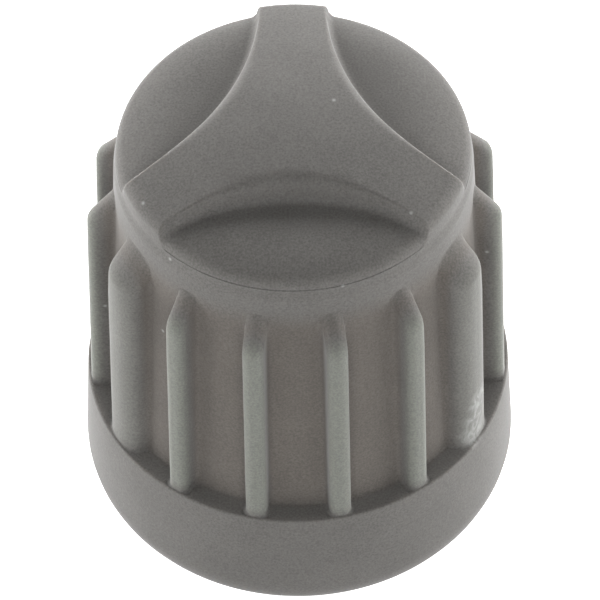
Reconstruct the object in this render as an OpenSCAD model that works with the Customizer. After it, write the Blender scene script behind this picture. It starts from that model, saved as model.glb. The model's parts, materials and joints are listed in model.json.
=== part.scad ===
// Tyre valve cap: a tall moulded plastic cap with gripping ribs, a three-armed thumb grip
// on its domed head, and a rubber ring inside that seals against the end of the valve.
// Millimetres, +Z up. The cap stands on its open end, with the origin at the middle of it.
// The front is -Y, and one arm of the grip points to the back, +Y.

/* [Body] */
// Height from the open end to the middle of the domed top
cap_h = 14.7; // [14:0.1:18]
// Outer radius of the body where it rises from the foot
body_r = 5.24; // [5.1:0.02:5.4]
// Radius of the smooth head above the ribs
head_r = 4.9; // [4.86:0.02:5]
// Step by which the drafted body stands proud of the head at its shoulder
shoulder_step = 0.06; // [0.02:0.01:0.1]
// Distance from the scoop floors down to that shoulder
shoulder_drop = 0.92; // [0.7:0.02:1.2]
// Spherical radius of the domed top
dome_r = 14.5; // [13:0.5:20]
// Rounding of the head's rim
rim_round = 0.42; // [0.2:0.02:0.5]

/* [Foot] */
// Radius of the foot flange at its widest
foot_r = 6; // [5.9:0.05:7]
// Height of the foot flange
foot_h = 4.2; // [3.5:0.1:5]
// Rounding under the foot flange
foot_round = 1.4; // [0.8:0.05:1.45]
// Angle by which the wall of the foot flange leans in towards the shelf
foot_draft = 2; // [0:0.5:4]
// Rounding of the shelf's outer edge
shelf_round = 0.06; // [0.04:0.02:0.16]
// Hollow fillet where the body rises from the shelf
body_fillet = 0.16; // [0.06:0.02:0.3]

/* [Ribs] */
// Number of gripping ribs
rib_count = 15; // [9:3:18]
// Width of a rib
rib_w = 0.6; // [0.4:0.05:0.8]
// Width of the broad rib that stands under each arm of the grip
arm_rib_w = 1.4; // [1:0.05:1.6]
// How far a rib's nose is set back from the rounded edge of the shelf
rib_setback = 0.02; // [0.02:0.01:0.2]
// Angle by which the ribs' noses lean in towards the head
rib_draft = 0.5; // [0.3:0.1:1]
// Distance from the scoop floors down to where a rib's top meets the body
rib_drop = 1.55; // [1.35:0.05:4]
// Slope of a rib's top, from level
rib_slope = 50; // [30:2:56]
// Rounding from a rib's top into its nose
rib_shoulder = 0.6; // [0.2:0.05:0.65]

/* [Grip] */
// Depth of the scoop floors below the middle of the dome
scoop_depth = 0.9; // [0.7:0.05:1.1]
// Radius in plan of a scoop at its lip
scoop_r = 7.92; // [7:0.02:10]
// Distance from the cap's axis to the lip of a scoop
grip_waist = 1.74; // [1.3:0.02:2]
// Rounding of the lip of a scoop
lip_round = 0.5; // [0.2:0.05:0.5]
// Slope of a scoop's wall, from level
scoop_slope = 80; // [70:1:84]
// Hollow fillet between a scoop's floor and its wall
scoop_fillet = 0.2; // [0.1:0.05:0.22]

/* [Thread bore] */
// Radius of the thread bore, at the root of the thread
bore_r = 3.9; // [3.7:0.05:4]
// Depth of the thread bore, from the open end to the seal
bore_depth = 9.2; // [8:0.1:9.5]
// Radius of the plain mouth that leads onto the valve
mouth_r = 4.25; // [4.15:0.05:4.35]
// Depth of the plain mouth
mouth_depth = 1.2; // [0.6:0.1:2]
// Chamfer round the edge of the mouth
mouth_chamfer = 0.1; // [0.04:0.02:0.14]
// Radius of the blind recess above the seal, for the valve's pin
pin_recess_r = 2.3; // [1.8:0.1:2.8]
// Thickness of plastic left between that recess and the scoop floors
top_wall = 1.6; // [1.2:0.1:2.2]

/* [Seal] */
// Outer radius of the seal ring, which snaps in past the thread
seal_r = 4.12; // [4.02:0.02:4.2]
// Radius of the hole in the seal ring
seal_hole_r = 1.9; // [1.4:0.1:2.4]
// Thickness of the seal ring
seal_h = 1.2; // [0.8:0.1:1.4]
// Rounding of the seal ring's edges
seal_round = 0.2; // [0.05:0.05:0.3]
// Free play round and under the seal ring in its groove
seal_gap = 0.05; // [0.02:0.01:0.1]

/* [Hidden] */
$fn = 64;

// Number of arms, and so of scoops between them
arm_count = 3;
// Direction of the arm at the back
arm_angle = 90;
// Overlap that keeps cuts and joints from ending on a shared face
over = 0.02;
// A finer one, for a round that runs out into a wall
fine_over = 0.005;

dome_z = cap_h - dome_r;
floor_z = cap_h - scoop_depth;
shoulder_z = floor_z - shoulder_drop;

// Centre and span of the rim's rounding, which touches both the head and the dome
rim_x = head_r - rim_round;
rim_z = dome_z + sqrt(pow(dome_r - rim_round, 2) - pow(rim_x, 2));
rim_end = acos(rim_x / (dome_r - rim_round));

// Centre of the rounding under the foot, and the radius that its wall reaches at the shelf
foot_x = foot_r - foot_round;
foot_wall_run = (foot_h - foot_round - foot_round * sin(foot_draft)) / cos(foot_draft);
shelf_r = foot_x + foot_round * cos(foot_draft) - foot_wall_run * sin(foot_draft);

rib_r = shelf_r - shelf_round - rib_setback;
rib_nose_x = rib_r - rib_w / 2;
rib_top_z = floor_z - rib_drop;
rib_root_r = (bore_r + head_r) / 2;

// A scoop is a turned cut round an upright axis outside the cap
scoop_x = grip_waist + scoop_r;
lip_slope = asin(grip_waist / dome_r);
lip_z = dome_z + dome_r * cos(lip_slope);
lip_centre = [scoop_r + lip_round * sin(lip_slope), lip_z - lip_round * cos(lip_slope)];
wall_x = lip_centre[0] - lip_round * sin(scoop_slope);
wall_z = lip_centre[1] + lip_round * cos(scoop_slope);
wall_run = (wall_z - floor_z - scoop_fillet * (1 - cos(scoop_slope))) / tan(scoop_slope);
fillet_centre = [wall_x - wall_run - scoop_fillet * sin(scoop_slope), floor_z + scoop_fillet];

groove_r = seal_r + seal_gap;
groove_top = bore_depth + seal_h + seal_gap;
recess_top = floor_z - top_wall;

// Points along a round stretch of an outline, from one angle to another
function arc(c, r, from, to, steps) =
    [for (i = [0 : steps]) c + r * [cos(from + (to - from) * i / steps), sin(from + (to - from) * i / steps)]];

// Outline of the foot, the drafted body, the rim and the dome, turned round the axis
module shell() {
    rotate_extrude()
        polygon(concat(
            [[0, 0]],
            arc([foot_x, foot_round], foot_round, -90, foot_draft, 9),
            arc([shelf_r - shelf_round, foot_h - shelf_round], shelf_round, foot_draft, 90, 3),
            arc([body_r + body_fillet, foot_h + body_fillet], body_fillet, 270, 180, 3),
            [[head_r + shoulder_step, shoulder_z - shoulder_step],
             [head_r, shoulder_z + shoulder_step]],
            arc([rim_x, rim_z], rim_round, 0, rim_end, 6),
            arc([0, dome_z], dome_r, rim_end, 90, 12)));
}

// Section of a rib with a full round nose
module rib_section() {
    translate([rib_root_r, -rib_w / 2])
        square([rib_nose_x - rib_root_r, rib_w]);
    translate([rib_nose_x, 0])
        circle(d = rib_w);
}

// Section of a broad rib, with a flat face between two corners of the same rounding
module arm_rib_section() {
    corner_y = (arm_rib_w - rib_w) / 2;
    corner_x = sqrt(pow(rib_nose_x, 2) - pow(corner_y, 2));
    translate([rib_root_r, -arm_rib_w / 2])
        square([corner_x - rib_root_r, arm_rib_w]);
    translate([rib_root_r, -corner_y])
        square([corner_x + rib_w / 2 - rib_root_r, 2 * corner_y]);
    for (side = [-1, 1])
        translate([corner_x, side * corner_y])
            circle(d = rib_w);
}

// One rib of a given section, standing on the shelf and leaning in with the mould's draft
module rib() {
    translate([rib_r, 0, foot_h - over])
        rotate([0, -rib_draft, 0])
            linear_extrude(height = cap_h - foot_h)
                translate([-rib_r, 0])
                    children();
}

// The sloping, rounded top that all ribs share
module rib_tops() {
    nose = rib_r + over;
    centre_x = nose - (rib_top_z - foot_h) * tan(rib_draft) - rib_shoulder;
    touch_x = centre_x + rib_shoulder * sin(rib_slope);
    touch_z = rib_top_z - (touch_x - head_r) * tan(rib_slope);
    centre = [centre_x, touch_z - rib_shoulder * cos(rib_slope)];
    rotate_extrude()
        polygon(concat(
            [[0, foot_h - 2 * over], [nose, foot_h - 2 * over]],
            arc(centre, rib_shoulder, rib_draft, 90 - rib_slope, 6),
            [[rib_root_r, rib_top_z + (head_r - rib_root_r) * tan(rib_slope)],
             [0, rib_top_z + (head_r - rib_root_r) * tan(rib_slope)]]));
}

module ribs() {
    intersection() {
        rib_tops();
        for (i = [0 : arm_count - 1])
            rotate(arm_angle + i * 360 / arm_count) {
                rib()
                    arm_rib_section();
                for (j = [1 : rib_count / arm_count - 1])
                    rotate(j * 360 / rib_count)
                        rib()
                            rib_section();
            }
    }
}

// One thumb scoop: a level floor that sweeps up into a steep wall with a rounded lip
module scoop() {
    rotate_extrude()
        polygon(concat(
            [[0, floor_z]],
            arc(fillet_centre, scoop_fillet, 270, 270 + scoop_slope, 4),
            arc(lip_centre, lip_round, 90 + scoop_slope, 90 + lip_slope, 6),
            [[scoop_r, cap_h + 1], [0, cap_h + 1]]));
}

// Where a scoop runs out over the rim, the rim keeps its rounding at the level of the floor
module scoop_rim() {
    intersection() {
        cylinder(r = fillet_centre[0], h = cap_h);
        translate([-scoop_x, 0, 0])
            rotate_extrude()
                polygon(concat(
                    arc([rim_x + fine_over, floor_z - rim_round], rim_round, 90, 0, 6),
                    [[head_r + 1, floor_z - rim_round], [head_r + 1, cap_h], [rim_x + fine_over, cap_h]]));
    }
}

module scoops() {
    for (i = [0 : arm_count - 1])
        rotate(arm_angle + (i + 0.5) * 360 / arm_count)
            translate([scoop_x, 0, 0]) {
                scoop();
                scoop_rim();
            }
}

// Plain mouth, thread bore, groove for the seal and blind recess for the valve's pin
module inside() {
    translate([0, 0, -over])
        cylinder(r = bore_r, h = bore_depth + 2 * over);
    translate([0, 0, -over])
        cylinder(r = mouth_r, h = mouth_depth + over);
    translate([0, 0, mouth_depth])
        cylinder(r1 = mouth_r, r2 = bore_r, h = mouth_r - bore_r);
    translate([0, 0, -over])
        cylinder(r1 = mouth_r + mouth_chamfer + over, r2 = mouth_r, h = mouth_chamfer + over);
    translate([0, 0, bore_depth])
        cylinder(r = groove_r, h = groove_top - bore_depth);
    translate([0, 0, groove_top - over])
        cylinder(r = pin_recess_r, h = recess_top - groove_top + over);
}

module cap_body() {
    color([0.44, 0.43, 0.42])
        difference() {
            union() {
                shell();
                ribs();
            }
            scoops();
            inside();
        }
}

// Flat rubber washer, seated against the roof of its groove
module seal_ring() {
    color([0.13, 0.13, 0.13])
        translate([0, 0, groove_top - seal_h])
            rotate_extrude()
                polygon(concat(
                    arc([seal_hole_r + seal_round, seal_round], seal_round, 180, 270, 4),
                    arc([seal_r - seal_round, seal_round], seal_round, 270, 360, 4),
                    arc([seal_r - seal_round, seal_h - seal_round], seal_round, 0, 90, 4),
                    arc([seal_hole_r + seal_round, seal_h - seal_round], seal_round, 90, 180, 4)));
}

cap_body();
seal_ring();
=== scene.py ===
import json
from math import asin, atan2, cos, hypot, pi, radians, sin, sqrt, tan

import bmesh
import bpy
from mathutils import Matrix, Vector


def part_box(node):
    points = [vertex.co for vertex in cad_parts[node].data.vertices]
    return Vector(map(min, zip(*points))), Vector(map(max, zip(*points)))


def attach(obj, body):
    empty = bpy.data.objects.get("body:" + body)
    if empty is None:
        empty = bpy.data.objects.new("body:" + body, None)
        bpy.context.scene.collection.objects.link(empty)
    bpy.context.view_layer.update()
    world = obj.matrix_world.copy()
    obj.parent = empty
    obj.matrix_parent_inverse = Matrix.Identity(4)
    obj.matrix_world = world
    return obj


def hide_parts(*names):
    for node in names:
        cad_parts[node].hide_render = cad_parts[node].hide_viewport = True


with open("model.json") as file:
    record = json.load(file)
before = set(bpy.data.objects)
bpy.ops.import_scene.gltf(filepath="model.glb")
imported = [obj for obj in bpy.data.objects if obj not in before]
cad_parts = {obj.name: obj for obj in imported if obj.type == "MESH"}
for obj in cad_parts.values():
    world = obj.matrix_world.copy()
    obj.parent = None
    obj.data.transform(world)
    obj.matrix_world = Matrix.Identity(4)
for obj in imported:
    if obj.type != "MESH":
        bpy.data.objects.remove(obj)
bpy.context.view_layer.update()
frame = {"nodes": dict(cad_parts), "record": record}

# Frame of the object: metres, while the sizes below are in millimetres, as on the mould's drawing.
mm = 0.001
foot_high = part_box("cap_body")[1]
cap_h = foot_high.z / mm
foot_r = foot_high.x / mm
thread_mount = [m for m in frame["record"]["mounts"] if m["name"] == "valve_thread"][0]
bore_r = thread_mount["dims"]["r_mm"]


# Camera
# A long lens looks down on the cap from just off its front, with the cap leaning a degree in the frame.
view_elevation = radians(51.2)
view_azimuth = radians(0.81)
view_roll = radians(-1.27)
view_distance = 300 * mm
aim = Vector((0, 0, 7 * mm))
pixels_per_mm = 35.83
frame_pixels = 600
cap_in_frame = (296.6, 293.4)
sensor_mm = 36

back = Vector((sin(view_azimuth) * cos(view_elevation),
               -cos(view_azimuth) * cos(view_elevation), sin(view_elevation)))
level = Vector((cos(view_azimuth), sin(view_azimuth), 0))
above = back.cross(level)
right = cos(view_roll) * level + sin(view_roll) * above
up = cos(view_roll) * above - sin(view_roll) * level
off_x = (frame_pixels / 2 - cap_in_frame[0]) / pixels_per_mm * mm
off_y = (cap_in_frame[1] - frame_pixels / 2) / pixels_per_mm * mm
place = aim + back * view_distance + right * off_x + up * off_y
camera_data = bpy.data.cameras.new("camera")
camera_data.sensor_width = sensor_mm
camera_data.lens = sensor_mm * pixels_per_mm * (view_distance / mm) / frame_pixels
camera_data.clip_start = 0.01
camera = bpy.data.objects.new("camera", camera_data)
camera.matrix_world = Matrix.Translation(place) @ Matrix((right, up, back)).transposed().to_4x4()
bpy.context.scene.collection.objects.link(camera)
bpy.context.scene.camera = camera


# Cap body
# One piece of mid-grey nylon, moulded in a two-part tool: a cavity with a fine spark-eroded
# grain and a core that unscrews from the thread. Every edge carries the tool's small radius.
body_r = 5.24
head_r = 4.9
shoulder_step = 0.06
shoulder_drop = 0.92
shoulder_round = 0.2
neck_rise = 0.32
dome_r = 14.5
rim_round = 0.42
foot_h = 4.2
foot_round = 1.4
foot_draft = radians(2)
shelf_round = 0.06
rib_count = 15
arm_count = 3
rib_w = 0.6
arm_rib_w = 1.4
rib_setback = 0.02
rib_draft = radians(0.5)
rib_drop = 1.55
rib_slope = radians(50)
rib_shoulder = 0.6
rib_root_round = 0.14
nose_corners = {rib_w: (0.24, 0.24), arm_rib_w: (0.42, 0.62)}
crown_corners = {rib_w: (0.28, 0.29), arm_rib_w: (0.5, 0.68)}
foot_fillet = 0.08
fillet_room = 0.004
rib_top_hollow = 0.12
scoop_depth = 0.9
scoop_r = 7.92
grip_waist = 1.74
lip_round = 0.5
scoop_slope = radians(80)
scoop_fillet = 0.2
lip_edge = 0.16
lip_flare = 0.3
fall_fade = 0.3
least_blend = 0.004
blend_growth = 1.5
floor_curve_r = 3.0
floor_curve = 0.17
floor_run_out = 0.1
bore_depth = 9.2
mouth_r = 4.25
mouth_depth = 1.2
groove_r = 4.17
groove_top = 10.45
pin_recess_r = 2.3
top_wall = 1.6
inner_edge = 0.08

dome_z = cap_h - dome_r
floor_z = cap_h - scoop_depth
shoulder_z = floor_z - shoulder_drop
rib_top_z = floor_z - rib_drop
rim_x = head_r - rim_round
foot_x = foot_r - foot_round
wall_run = (foot_h - foot_round - foot_round * sin(foot_draft)) / cos(foot_draft)
shelf_r = foot_x + foot_round * cos(foot_draft) - wall_run * sin(foot_draft)
shelf_flat_r = shelf_r - shelf_round
rib_r = shelf_flat_r - rib_setback
half_pitch = pi / rib_count


def arc(cx, cy, r, start, end, steps):
    """Points along a round stretch of a profile, angles in degrees."""
    turns = [radians(start + (end - start) * i / steps) for i in range(steps + 1)]
    return [(cx + r * cos(t), cy + r * sin(t)) for t in turns]


def soft_min(a, b, width):
    blend = max(width - abs(a - b), 0) / width
    return min(a, b) - blend * blend * width / 4


# The cut of a scoop against distance from its axis: floor, fillet, wall and rounded lip
scoop_x = grip_waist + scoop_r
lip_slope = asin(grip_waist / dome_r)
lip_z = dome_z + dome_r * cos(lip_slope)
lip_x = scoop_r + lip_round * sin(lip_slope)
lip_low = lip_z - lip_round * cos(lip_slope)
wall_x = lip_x - lip_round * sin(scoop_slope)
wall_z = lip_low + lip_round * cos(scoop_slope)
wall_foot_z = floor_z + scoop_fillet * (1 - cos(scoop_slope))
wall_foot_x = wall_x - (wall_z - wall_foot_z) / tan(scoop_slope)
fillet_x = wall_foot_x - scoop_fillet * sin(scoop_slope)


def scoop_height(d):
    if d < fillet_x:
        return floor_z
    if d < wall_foot_x:
        return floor_z + scoop_fillet - sqrt(scoop_fillet ** 2 - (d - fillet_x) ** 2)
    if d < wall_x:
        return wall_foot_z + (d - wall_foot_x) * tan(scoop_slope)
    if d < scoop_r:
        return lip_low + sqrt(lip_round ** 2 - (lip_x - d) ** 2)
    return lip_z + (d - scoop_r) * tan(lip_slope) + (d - scoop_r) ** 2 / lip_flare


def top_height(x, y):
    """Height of the domed top, with the three scoops cut in and their edges just broken. The
    floors curve down a little towards the rim, while the arms keep the dome's own curve."""
    out = hypot(x, y)
    dome = dome_z + sqrt(dome_r ** 2 - out * out)
    fall = floor_curve / 3 * max(out - floor_curve_r, 0) ** 3
    width = max(min(lip_edge, blend_growth * (lip_z - dome)), least_blend)
    height = dome
    for i in range(arm_count):
        turn = pi / 2 + pi / arm_count * (2 * i + 1)
        cut = scoop_height(hypot(x - scoop_x * cos(turn), y - scoop_x * sin(turn)))
        cut -= fall * max(1 - (cut - floor_z) / fall_fade, 0)
        height = soft_min(height, cut, width)
    return height


def rib_outline(inner_r, nose_r, width):
    """Half the outline of one rib and the gap beside it, as (out, across) in the rib's own
    directions: the nose, the flat side, the hollow root and the body."""
    half = width / 2
    deep, wide = nose_corners[width]
    nose_x = sqrt(nose_r ** 2 - (half - wide) ** 2) - deep
    points = [(nose_x + deep, (half - wide) * i / 3) for i in range(3)]
    points += [(nose_x + deep * c, half - wide + wide * a) for c, a in arc(0, 0, 1, 0, 90, 7)]
    hollow = sqrt((inner_r + rib_root_round) ** 2 - (half + rib_root_round) ** 2)
    points.append(((nose_x + hollow) / 2, half))
    lean = atan2(half + rib_root_round, hollow) * 180 / pi
    points += arc(hollow, half + rib_root_round, rib_root_round, -90, lean - 180, 3)
    last = atan2(points[-1][1], points[-1][0])
    turns = [last + (half_pitch - last) * i / 5 for i in range(1, 6)]
    return points + [(inner_r * cos(t), inner_r * sin(t)) for t in turns]


def body_radius(z):
    """Radius of the drafted body between the ribs."""
    share = (z - foot_h) / (shoulder_z - shoulder_round - foot_h)
    return body_r + (head_r + shoulder_step - body_r) * share


def rib_ring(narrow_half, broad_half):
    """One closed ring of points round the cap from the half outlines of both kinds of rib."""
    ring = []
    for i in range(rib_count):
        turn = pi / 2 + 2 * pi * i / rib_count
        half = narrow_half if i % (rib_count // arm_count) else broad_half
        for out, across in [(out, -across) for out, across in half[:0:-1]] + half[:-1]:
            ring.append((out * cos(turn) - across * sin(turn), out * sin(turn) + across * cos(turn)))
    return ring


def ribbed_row(z, limit=None, share=0):
    """A ring of the body and its ribs at one height, with the ribs cut back to a limit radius
    and the edges of that cut rounded over, by a share of the way from the nose's corners."""
    inner = body_radius(z)
    halves = []
    for width in (rib_w, arm_rib_w):
        points = []
        for out, across in rib_outline(inner, rib_r - (z - foot_h) * tan(rib_draft), width):
            wall = sqrt(inner ** 2 - across ** 2)
            if limit is not None:
                deep, wide = [a + (b - a) * share for a, b in zip(nose_corners[width], crown_corners[width])]
                over = max(across - (width / 2 - wide), 0) / wide
                crown = deep * (1 - sqrt(max(1 - over ** 2, 0)))
                out = max(min(out, sqrt(limit ** 2 - across ** 2) - crown), wall)
            points.append((out, across))
        halves.append(points)
    return [(x, y, z) for x, y in rib_ring(*halves)]


foot_ring = rib_ring(rib_outline(body_r, rib_r, rib_w), rib_outline(body_r, rib_r, arm_rib_w))
foot_turns = [atan2(y, x) for x, y in foot_ring]
head_turns = [atan2(y, x) for x, y, _ in ribbed_row(shoulder_z - shoulder_round, head_r)]


def round_row(r, z, turns=foot_turns):
    return [(r * cos(t), r * sin(t), z) for t in turns]


def eased(points, radius, steps=3):
    """A profile with each inner corner eased by a small curve."""
    out = [points[0]]
    for a, p, b in zip(points, points[1:], points[2:]):
        a, p, b = Vector(a), Vector(p), Vector(b)
        start = p + (a - p).normalized() * radius
        end = p + (b - p).normalized() * radius
        for i in range(steps + 1):
            s = i / steps
            out.append(tuple(start * (1 - s) ** 2 + p * 2 * s * (1 - s) + end * s ** 2))
    return out + [points[-1]]


rows = []
recess_top = floor_z - top_wall
step_down = mouth_r - bore_r
inside = eased([(0, recess_top), (pin_recess_r, recess_top), (pin_recess_r, groove_top),
                (groove_r, groove_top), (groove_r, bore_depth), (bore_r, bore_depth),
                (bore_r, mouth_depth + step_down), (mouth_r, mouth_depth),
                (mouth_r, 0), (foot_x, 0)], inner_edge)
rows += [round_row(r, z) for r, z in inside[:-1]]
rows += [round_row(r, z) for r, z in arc(foot_x, foot_round, foot_round, -90, foot_draft * 180 / pi, 10)]
rows += [round_row(r, z) for r, z in arc(shelf_flat_r, foot_h - shelf_round, shelf_round, 2, 90, 4)]

# The shelf, drawn in from its edge to the ribs' feet, with a small fillet round them
for step in range(5):
    lean = radians(90 * step / 4)
    halves = []
    for width in (rib_w, arm_rib_w):
        outline = rib_outline(body_r, rib_r, width)
        spread = []
        before = [(outline[1][0], -outline[1][1])] + outline[:-1]
        after = outline[1:] + [outline[-1]]
        for p, a, b in zip(outline, before, after):
            n = Vector((b[1] - a[1], a[0] - b[0])).normalized()
            if p == outline[-1]:
                n = Vector(p).normalized()
            room = max(shelf_flat_r - fillet_room - hypot(*p), fillet_room)
            d = min(foot_fillet, room) * (1 - sin(lean))
            spread.append((p[0] + n.x * d, p[1] + n.y * d))
        halves.append(spread)
    ring = rib_ring(*halves)
    z = foot_h + foot_fillet * (1 - cos(lean))
    if step == 0:
        edge = [(shelf_flat_r * cos(t), shelf_flat_r * sin(t)) for t in [atan2(y, x) for x, y in ring]]
        for s in (0.3, 0.65):
            rows.append([(a[0] + (b[0] - a[0]) * s, a[1] + (b[1] - a[1]) * s, z) for a, b in zip(edge, ring)])
    rows.append([(x, y, z) for x, y in ring])

# The ribs' sides, then their shoulders, sloping tops and the hollow where they meet the head
shoulder_steps = 8
nose_x = rib_r - (rib_top_z - foot_h) * tan(rib_draft) - rib_shoulder
touch_x = nose_x + rib_shoulder * sin(rib_slope)
touch_z = rib_top_z - (touch_x - head_r) * tan(rib_slope)
shoulder_start = touch_z - rib_shoulder * cos(rib_slope)
for i in range(1, 8):
    rows.append(ribbed_row(foot_h + foot_fillet + (shoulder_start - foot_h - foot_fillet) * i / 8))
slope_turn = 90 - rib_slope * 180 / pi
shape = arc(nose_x, shoulder_start, rib_shoulder, 0, slope_turn, shoulder_steps)
meet_r = body_radius(rib_top_z)
bend = radians(slope_turn)
reach = rib_top_hollow * tan(bend / 2)
low = (meet_r + reach * cos(rib_slope),
       rib_top_z - reach * sin(rib_slope) - (meet_r - head_r) * tan(rib_slope))
high = shape[-1]
shape += [(high[0] + (low[0] - high[0]) * i / 8, high[1] + (low[1] - high[1]) * i / 8)
          for i in range(1, 8)]
shape += arc(meet_r + rib_top_hollow, low[1] + reach * sin(rib_slope) + reach, rib_top_hollow,
             180 + slope_turn, 180, 4)
rows += [ribbed_row(z, r, min(i / shoulder_steps, 1)) for i, (r, z) in enumerate(shape)]
for i in range(1, 4):
    z = shape[-1][1] + (shoulder_z - shoulder_round - shape[-1][1]) * i / 4
    rows.append(round_row(body_radius(z), z, head_turns))

# The shoulder, the smooth head and its rim, whose height follows the scoops and arms
low_neck, high_neck = shoulder_z - shoulder_round, shoulder_z + neck_rise
neck_steps = 10
neck_r = body_radius(low_neck)
neck = [(neck_r + (head_r - neck_r) * (1 - cos(pi * i / neck_steps)) / 2,
         low_neck + (high_neck - low_neck) * i / neck_steps) for i in range(neck_steps + 1)]
rows += [round_row(r, z, head_turns) for r, z in neck]
dome_lean = asin(rim_x / (dome_r - rim_round))
floor_lean = atan2(floor_curve * (rim_x + floor_run_out - floor_curve_r) ** 2, 1)
rim = []
for t in head_turns:
    height = top_height(rim_x * cos(t), rim_x * sin(t))
    rise = (height - floor_z) / (dome_z + sqrt(dome_r ** 2 - rim_x ** 2) - floor_z)
    lean = floor_lean + (dome_lean - floor_lean) * min(max(rise, 0), 1)
    edge_r = rim_x + rim_round * sin(lean)
    edge_z = top_height(edge_r * cos(t), edge_r * sin(t))
    rim.append((t, edge_r, edge_z - rim_round * cos(lean), pi / 2 - lean))
rim_steps = 8
for i in range(rim_steps):
    rows.append([((rim_x + rim_round * cos(end * i / rim_steps)) * cos(t),
                  (rim_x + rim_round * cos(end * i / rim_steps)) * sin(t),
                  centre + rim_round * sin(end * i / rim_steps)) for t, _, centre, end in rim])

# The top, in rings that follow the foot, wall and lip of each scoop until they reach the rim
ring_gap = 0.016
stops = [fillet_x + (wall_foot_x - fillet_x) * sin(radians(18 * i)) for i in range(6)]
stops += [wall_foot_x + (wall_x - wall_foot_x) * i / 3 for i in range(1, 3)]
stops += [lip_x - lip_round * sin(scoop_slope + (lip_slope - scoop_slope) * i / 10) for i in range(11)]
stops += [scoop_r + lip_edge * i / 2 for i in range(1, 4)]
floor_steps, plateau_steps = 12, 26
plateau_spread = 0.9


def top_radii(turn, edge_r):
    """Radii at which one column of the top crosses its rings, from the rim to the middle."""
    off = (turn - pi / 2) % (2 * pi / arm_count) - pi / arm_count
    radii = []
    for d in stops:
        across = scoop_x * sin(abs(off))
        radii.append(scoop_x * cos(off) - sqrt(d * d - across * across) if d > across else edge_r)
    radii = [edge_r + (radii[0] - edge_r) * i / floor_steps for i in range(floor_steps)] + radii
    radii = [min(r, edge_r - i * ring_gap) for i, r in enumerate(radii)]
    spread = [1 - (i / plateau_steps) ** plateau_spread for i in range(1, plateau_steps + 1)]
    return radii + [radii[-1] * share for share in spread]


columns = [top_radii(t, r) for t, r, _, _ in rim]
for i in range(len(columns[0])):
    ring = [(column[i] * cos(t), column[i] * sin(t)) for column, (t, _, _, _) in zip(columns, rim)]
    rows.append([(x, y, top_height(x, y)) for x, y in ring])

column_count = len(foot_ring)
body_mesh = bmesh.new()
bmesh.ops.create_grid(body_mesh, x_segments=column_count, y_segments=len(rows) - 1, size=1)
for vert in body_mesh.verts:
    column = round((vert.co.x + 1) / 2 * column_count) % column_count
    row = round((vert.co.y + 1) / 2 * (len(rows) - 1))
    vert.co = Vector(rows[row][column]) * mm
weld = 0.00002 * mm
bmesh.ops.remove_doubles(body_mesh, verts=body_mesh.verts, dist=weld)
bmesh.ops.recalc_face_normals(body_mesh, faces=body_mesh.faces)
for face in body_mesh.faces:
    face.smooth = True
shell = bpy.data.meshes.new("cap_shell")
body_mesh.to_mesh(shell)
body_mesh.free()
cap_shell = bpy.data.objects.new("cap_shell", shell)
bpy.context.scene.collection.objects.link(cap_shell)
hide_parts("cap_body")
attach(cap_shell, "root")


def linear(code):
    """A colour written as sRGB hex, as the shader's linear value."""
    parts = [int(code[i:i + 2], 16) / 255 for i in (1, 3, 5)]
    return [c / 12.92 if c <= 0.04045 else ((c + 0.055) / 1.055) ** 2.4 for c in parts] + [1]


def add(tree, kind, settings=None, links=None):
    """Adds one node with its settings and sockets, and links them to other nodes' outputs."""
    node = tree.nodes.new(kind)
    for name, value in (settings or {}).items():
        if isinstance(name, str) and hasattr(node, name):
            setattr(node, name, value)
        else:
            node.inputs[name].default_value = value
    for name, source in (links or {}).items():
        tree.links.new(source, node.inputs[name])
    return node


def layer(tree, under, over, share, blend="MIX"):
    """Lays one colour over another by a share, each a socket or a plain value."""
    mixed = add(tree, "ShaderNodeMix", {"data_type": "RGBA", "blend_type": blend})
    for slot, source in ((0, share), (6, under), (7, over)):
        if isinstance(source, bpy.types.NodeSocket):
            tree.links.new(source, mixed.inputs[slot])
        else:
            mixed.inputs[slot].default_value = source
    return mixed.outputs[2]


def near(tree, where, spot, core, edge):
    """A mask that is 1 within a core of a spot and fades to 0 at its edge, in millimetres."""
    gap = add(tree, "ShaderNodeVectorMath", {"operation": "DISTANCE"}, {0: where})
    gap.inputs[1].default_value = Vector(spot) * mm
    return add(tree, "ShaderNodeMapRange", {"From Min": edge * mm, "From Max": core * mm},
               {"Value": gap.outputs["Value"]}).outputs["Result"]


def either(tree, masks):
    """One mask from several, the strongest of them everywhere."""
    joined = masks[0]
    for mask in masks[1:]:
        joined = add(tree, "ShaderNodeMath", {"operation": "MAXIMUM"}, {0: joined, 1: mask}).outputs["Value"]
    return joined


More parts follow.
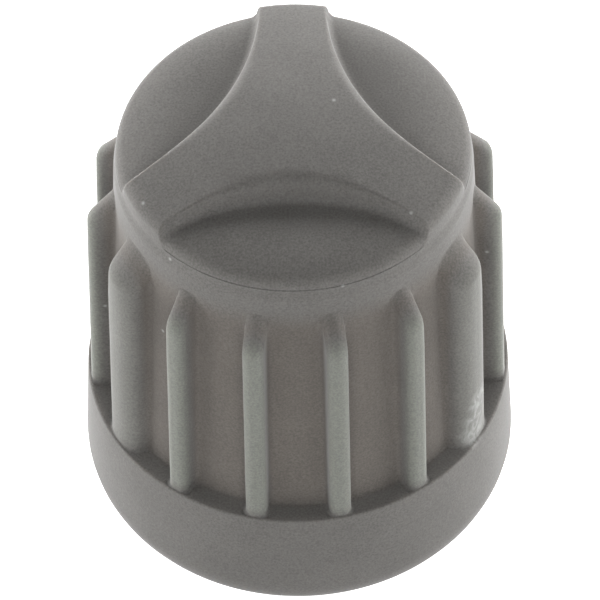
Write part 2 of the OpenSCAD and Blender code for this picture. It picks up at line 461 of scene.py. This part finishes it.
def moulded_nylon():
    """Grey nylon from a spark-eroded mould: matt, with a grain finer than 0.1 mm and a brownish
    cast. The ribs' noses are paler, partly worn by fingers and partly a painted highlight, and
    the gaps between the ribs carry painted shade, a little darker and warmer."""
    material = bpy.data.materials.new("moulded_nylon")
    material.use_nodes = True
    tree = material.node_tree
    shader = tree.nodes["Principled BSDF"]
    where = add(tree, "ShaderNodeTexCoord").outputs["Object"]
    grain = add(tree, "ShaderNodeTexNoise", {"Scale": 1 / (0.06 * mm), "Detail": 2.0, "Roughness": 0.6},
                {"Vector": where}).outputs["Fac"]
    cloud = add(tree, "ShaderNodeTexNoise", {"Scale": 1 / (1.6 * mm), "Detail": 2.0},
                {"Vector": where}).outputs["Fac"]

    # Distance from the cap's axis, and height, tell the noses of the ribs from the body
    flat = add(tree, "ShaderNodeVectorMath", {"operation": "MULTIPLY"}, {0: where})
    flat.inputs[1].default_value = (1, 1, 0)
    out = add(tree, "ShaderNodeVectorMath", {"operation": "LENGTH"},
              {0: flat.outputs["Vector"]}).outputs["Value"]
    place = add(tree, "ShaderNodeSeparateXYZ", None, {0: where})
    height = place.outputs["Z"]
    proud = add(tree, "ShaderNodeMapRange", {"From Min": 5.42 * mm, "From Max": 5.7 * mm}, {"Value": out})
    above = add(tree, "ShaderNodeMapRange", {"From Min": 4.2 * mm, "From Max": 4.6 * mm}, {"Value": height})
    noses = add(tree, "ShaderNodeMath", {"operation": "MULTIPLY"},
                {0: proud.outputs["Result"], 1: above.outputs["Result"]}).outputs["Value"]
    turn = add(tree, "ShaderNodeMath", {"operation": "ARCTAN2"},
               {0: place.outputs["Y"], 1: place.outputs["X"]})
    thrice = add(tree, "ShaderNodeMath", {"operation": "MULTIPLY", 1: 3.0}, {0: turn.outputs["Value"]})
    arms = add(tree, "ShaderNodeMath", {"operation": "SINE"}, {0: thrice.outputs["Value"]}).outputs["Value"]
    narrow = add(tree, "ShaderNodeMapRange",
                 {"From Min": -0.9, "From Max": -0.75, "To Min": 0.35, "To Max": 1.0},
                 {"Value": arms}).outputs["Result"]
    # Paler noses: partly wear from fingers, partly a painted highlight for the side light the noses catch.
    rubbed_and_lit = add(tree, "ShaderNodeMath", {"operation": "MULTIPLY"}, {0: noses, 1: narrow}).outputs["Value"]
    # Painted shade: the body in the gaps between the ribs, below the head, is darkened and warmed a little.
    below = add(tree, "ShaderNodeMapRange", {"From Min": 12.3 * mm, "From Max": 11.6 * mm}, {"Value": height})
    inner = add(tree, "ShaderNodeMapRange", {"From Min": 5.42 * mm, "From Max": 5.2 * mm}, {"Value": out})
    hollow = add(tree, "ShaderNodeMath", {"operation": "MULTIPLY"},
                 {0: below.outputs["Result"], 1: inner.outputs["Result"]}).outputs["Value"]

    tone = add(tree, "ShaderNodeValToRGB", None, {"Fac": grain})
    tone.color_ramp.elements[0].position = 0.3
    tone.color_ramp.elements[0].color = linear("#5e5c59")
    tone.color_ramp.elements[1].position = 0.7
    tone.color_ramp.elements[1].color = linear("#767471")
    shade = add(tree, "ShaderNodeMapRange",
                {"From Min": 0.3, "From Max": 0.7, "To Min": 0.94, "To Max": 1.06},
                {"Value": cloud}).outputs["Result"]
    colour = layer(tree, tone.outputs["Color"], shade, 1, "MULTIPLY")
    # The gaps between the ribs take their painted shade here.
    colour = layer(tree, colour, linear("#f6efe9"), hollow, "MULTIPLY")
    # The noses' colour: worn paler, with a painted highlight in it.
    polished_and_lit = add(tree, "ShaderNodeValToRGB", None, {"Fac": grain})
    polished_and_lit.color_ramp.elements[0].position = 0.3
    polished_and_lit.color_ramp.elements[0].color = linear("#6f716c")
    polished_and_lit.color_ramp.elements[1].position = 0.7
    polished_and_lit.color_ramp.elements[1].color = linear("#85877f")
    colour = layer(tree, colour, polished_and_lit.outputs["Color"], rubbed_and_lit)

    # Pale specks of dust, and the scrape on the foot of the right broad rib
    speck_spots = [(-5.32, -0.86, 7.61), (-3.65, -3.5, 9.77), (-4.1, -2.33, 13.9), (3.21, -2.89, 14.03),
                   (-3.38, -3.58, 13), (1.33, -4.72, 13.16), (1.13, 0.63, 14.64), (5.3, -0.86, 9.8)]
    specks = either(tree, [near(tree, where, spot, 0.01, 0.075) for spot in speck_spots])
    scrape_spots = [(5.1, -2.85, 5.75), (5.0, -2.98, 5.15), (4.9, -3.12, 4.6)]
    area = either(tree, [near(tree, where, spot, 0.25, 0.62) for spot in scrape_spots])
    along = add(tree, "ShaderNodeMapping", None, {"Vector": where})
    along.inputs["Scale"].default_value = (1, 1, 0.6)
    torn = add(tree, "ShaderNodeTexNoise", {"Scale": 1 / (0.24 * mm), "Detail": 3.0, "Distortion": 1.2},
               {"Vector": along.outputs["Vector"]}).outputs["Fac"]
    streak = add(tree, "ShaderNodeMapRange",
                 {"From Min": 0.42, "From Max": 0.66, "To Min": 0.25, "To Max": 1.0},
                 {"Value": torn}).outputs["Result"]
    scrape = add(tree, "ShaderNodeMath", {"operation": "MULTIPLY"}, {0: area, 1: streak}).outputs["Value"]
    colour = layer(tree, colour, linear("#9fa09d"), either(tree, [specks, scrape]))
    tree.links.new(colour, shader.inputs["Base Color"])
    rough = add(tree, "ShaderNodeMapRange",
                {"From Min": 0.3, "From Max": 0.7, "To Min": 0.76, "To Max": 0.88},
                {"Value": grain}).outputs["Result"]
    tree.links.new(rough, shader.inputs["Roughness"])
    relief = add(tree, "ShaderNodeBump", {"Strength": 0.3, "Distance": 0.01 * mm}, {"Height": grain})
    tree.links.new(relief.outputs["Normal"], shader.inputs["Normal"])
    shader.inputs["IOR"].default_value = 1.53
    shader.inputs["Specular IOR Level"].default_value = 0.4
    shader.inputs["Sheen Weight"].default_value = 0.3
    shader.inputs["Sheen Roughness"].default_value = 0.35
    shader.inputs["Subsurface Weight"].default_value = 0.4
    shader.inputs["Subsurface Scale"].default_value = 0.35 * mm
    shader.inputs["Subsurface Radius"].default_value = (1, 0.9, 0.8)
    return material


nylon = moulded_nylon()
cap_shell.data.materials.append(nylon)


# Valve thread
# The ridge of the 8V1 thread inside the bore, 32 to the inch, moulded in one with the cap
# body and left by unscrewing the core. It fades in at the mouth and out below the seal.
thread_pitch = 25.4 / 32
thread_crest_r = 3.5
thread_root_half = 0.34
thread_crest_half = 0.07
thread_sunk = 0.04
thread_steps = 60
thread_low = mouth_depth + step_down + 0.45
thread_high = bore_depth - 0.45

thread_turns = (thread_high - thread_low) / thread_pitch
thread_mesh = bmesh.new()
section = [(bore_r + thread_sunk, -thread_root_half), (bore_r + thread_sunk, thread_root_half),
           (thread_crest_r, thread_crest_half), (thread_crest_r, -thread_crest_half)]
corners = [thread_mesh.verts.new((r * mm, 0, (thread_low + z) * mm)) for r, z in section]
end_face = thread_mesh.faces.new(corners)
steps = round(thread_turns * thread_steps)
bmesh.ops.spin(thread_mesh, geom=[end_face] + list(end_face.edges) + corners,
               cent=(0, 0, 0), axis=(0, 0, 1),
               dvec=(0, 0, thread_pitch / thread_steps * mm),
               angle=2 * pi * steps / thread_steps, steps=steps)
run_out = 0.9 * thread_pitch
for vert in thread_mesh.verts:
    r = hypot(vert.co.x, vert.co.y) / mm
    climb = vert.co.z / mm
    fade = min(max((climb - thread_low + thread_root_half) / run_out, 0),
               max((thread_high + thread_root_half - climb) / run_out, 0), 1)
    inward = (bore_r - r) * (1 - fade) if r < bore_r else 0
    vert.co.x *= (r + inward) / r
    vert.co.y *= (r + inward) / r
bmesh.ops.remove_doubles(thread_mesh, verts=thread_mesh.verts, dist=weld)
bmesh.ops.recalc_face_normals(thread_mesh, faces=thread_mesh.faces)
ridge = bpy.data.meshes.new("thread_ridge")
thread_mesh.to_mesh(ridge)
thread_mesh.free()
thread_ridge = bpy.data.objects.new("thread_ridge", ridge)
bpy.context.scene.collection.objects.link(thread_ridge)
thread_ridge.data.materials.append(nylon)
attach(thread_ridge, "root")


# Seal ring
# A flat washer of black nitrile rubber, punched from sheet and snapped into the groove above
# the thread. It presses on the end of the valve.
def nitrile_rubber():
    """Black nitrile rubber, punched from moulded sheet: near-black and dull, with a faint bloom."""
    material = bpy.data.materials.new("nitrile_rubber")
    material.use_nodes = True
    tree = material.node_tree
    shader = tree.nodes["Principled BSDF"]
    where = add(tree, "ShaderNodeTexCoord").outputs["Object"]
    bloom = add(tree, "ShaderNodeTexNoise", {"Scale": 1 / (0.5 * mm), "Detail": 4.0},
                {"Vector": where}).outputs["Fac"]
    tone = add(tree, "ShaderNodeValToRGB", None, {"Fac": bloom})
    tone.color_ramp.elements[0].position = 0.35
    tone.color_ramp.elements[0].color = linear("#1b1b1c")
    tone.color_ramp.elements[1].position = 0.7
    tone.color_ramp.elements[1].color = linear("#2c2c2c")
    tree.links.new(tone.outputs["Color"], shader.inputs["Base Color"])
    relief = add(tree, "ShaderNodeBump", {"Strength": 0.3, "Distance": 0.01 * mm}, {"Height": bloom})
    tree.links.new(relief.outputs["Normal"], shader.inputs["Normal"])
    shader.inputs["Roughness"].default_value = 0.75
    return material


seal = frame["nodes"]["seal_ring"]
if seal.data.materials:
    seal.data.materials[0] = nitrile_rubber()
else:
    seal.data.materials.append(nitrile_rubber())


# Floor and light
# A plain white sweep with soft white boxes at the sides, the back and the front. The boxes
# at the sides stand low, so the cap's sides are bright and its top and front stay darker.
def card(name, strength, size, spot):
    lamp = bpy.data.lights.new(name, "AREA")
    lamp.shape = "RECTANGLE"
    lamp.size, lamp.size_y = size[0] * mm, size[1] * mm
    lamp.energy = strength
    box = bpy.data.objects.new(name, lamp)
    box.location = Vector(spot) * mm
    box.rotation_euler = (Vector(spot) * mm - aim).to_track_quat("Z", "Y").to_euler()
    bpy.context.scene.collection.objects.link(box)


card("left_box", 0.44, (200, 80), (-276, 10, 56))
card("right_box", 0.45, (200, 80), (276, 10, 56))
card("back_left_box", 0.62, (200, 80), (-195, 195, 56))
card("back_right_box", 0.68, (200, 80), (195, 195, 56))
card("back_box", 0.6, (200, 110), (0, 237, 155))
card("front_box", 0.47, (200, 110), (0, -237, 155))

floor_mesh = bmesh.new()
bmesh.ops.create_grid(floor_mesh, x_segments=1, y_segments=1, size=0.6)
floor_data = bpy.data.meshes.new("floor")
floor_mesh.to_mesh(floor_data)
floor_mesh.free()
floor = bpy.data.objects.new("floor", floor_data)
bpy.context.scene.collection.objects.link(floor)
white = bpy.data.materials.new("white_sweep")
white.use_nodes = True
tree = white.node_tree
tree.nodes["Principled BSDF"].inputs["Base Color"].default_value = (0.95, 0.95, 0.95, 1)
tree.nodes["Principled BSDF"].inputs["Roughness"].default_value = 0.9
# White to the camera and in reflections, while the lamps alone light its own colour
ray = add(tree, "ShaderNodeLightPath")
seen = either(tree, [ray.outputs[name] for name in ("Is Camera Ray", "Is Glossy Ray", "Is Transmission Ray")])
glow = add(tree, "ShaderNodeEmission", {"Color": (1, 1, 1, 1)}, {"Strength": seen})
both = add(tree, "ShaderNodeAddShader")
tree.links.new(tree.nodes["Principled BSDF"].outputs[0], both.inputs[0])
tree.links.new(glow.outputs[0], both.inputs[1])
tree.links.new(both.outputs[0], tree.nodes["Material Output"].inputs["Surface"])
floor.data.materials.append(white)

world = bpy.data.worlds.new("studio")
bpy.context.scene.world = world
world.use_nodes = True
world.node_tree.nodes["Background"].inputs["Color"].default_value = (1, 1, 1, 1)
world.node_tree.nodes["Background"].inputs["Strength"].default_value = 0
bpy.context.scene.view_settings.view_transform = "Standard"
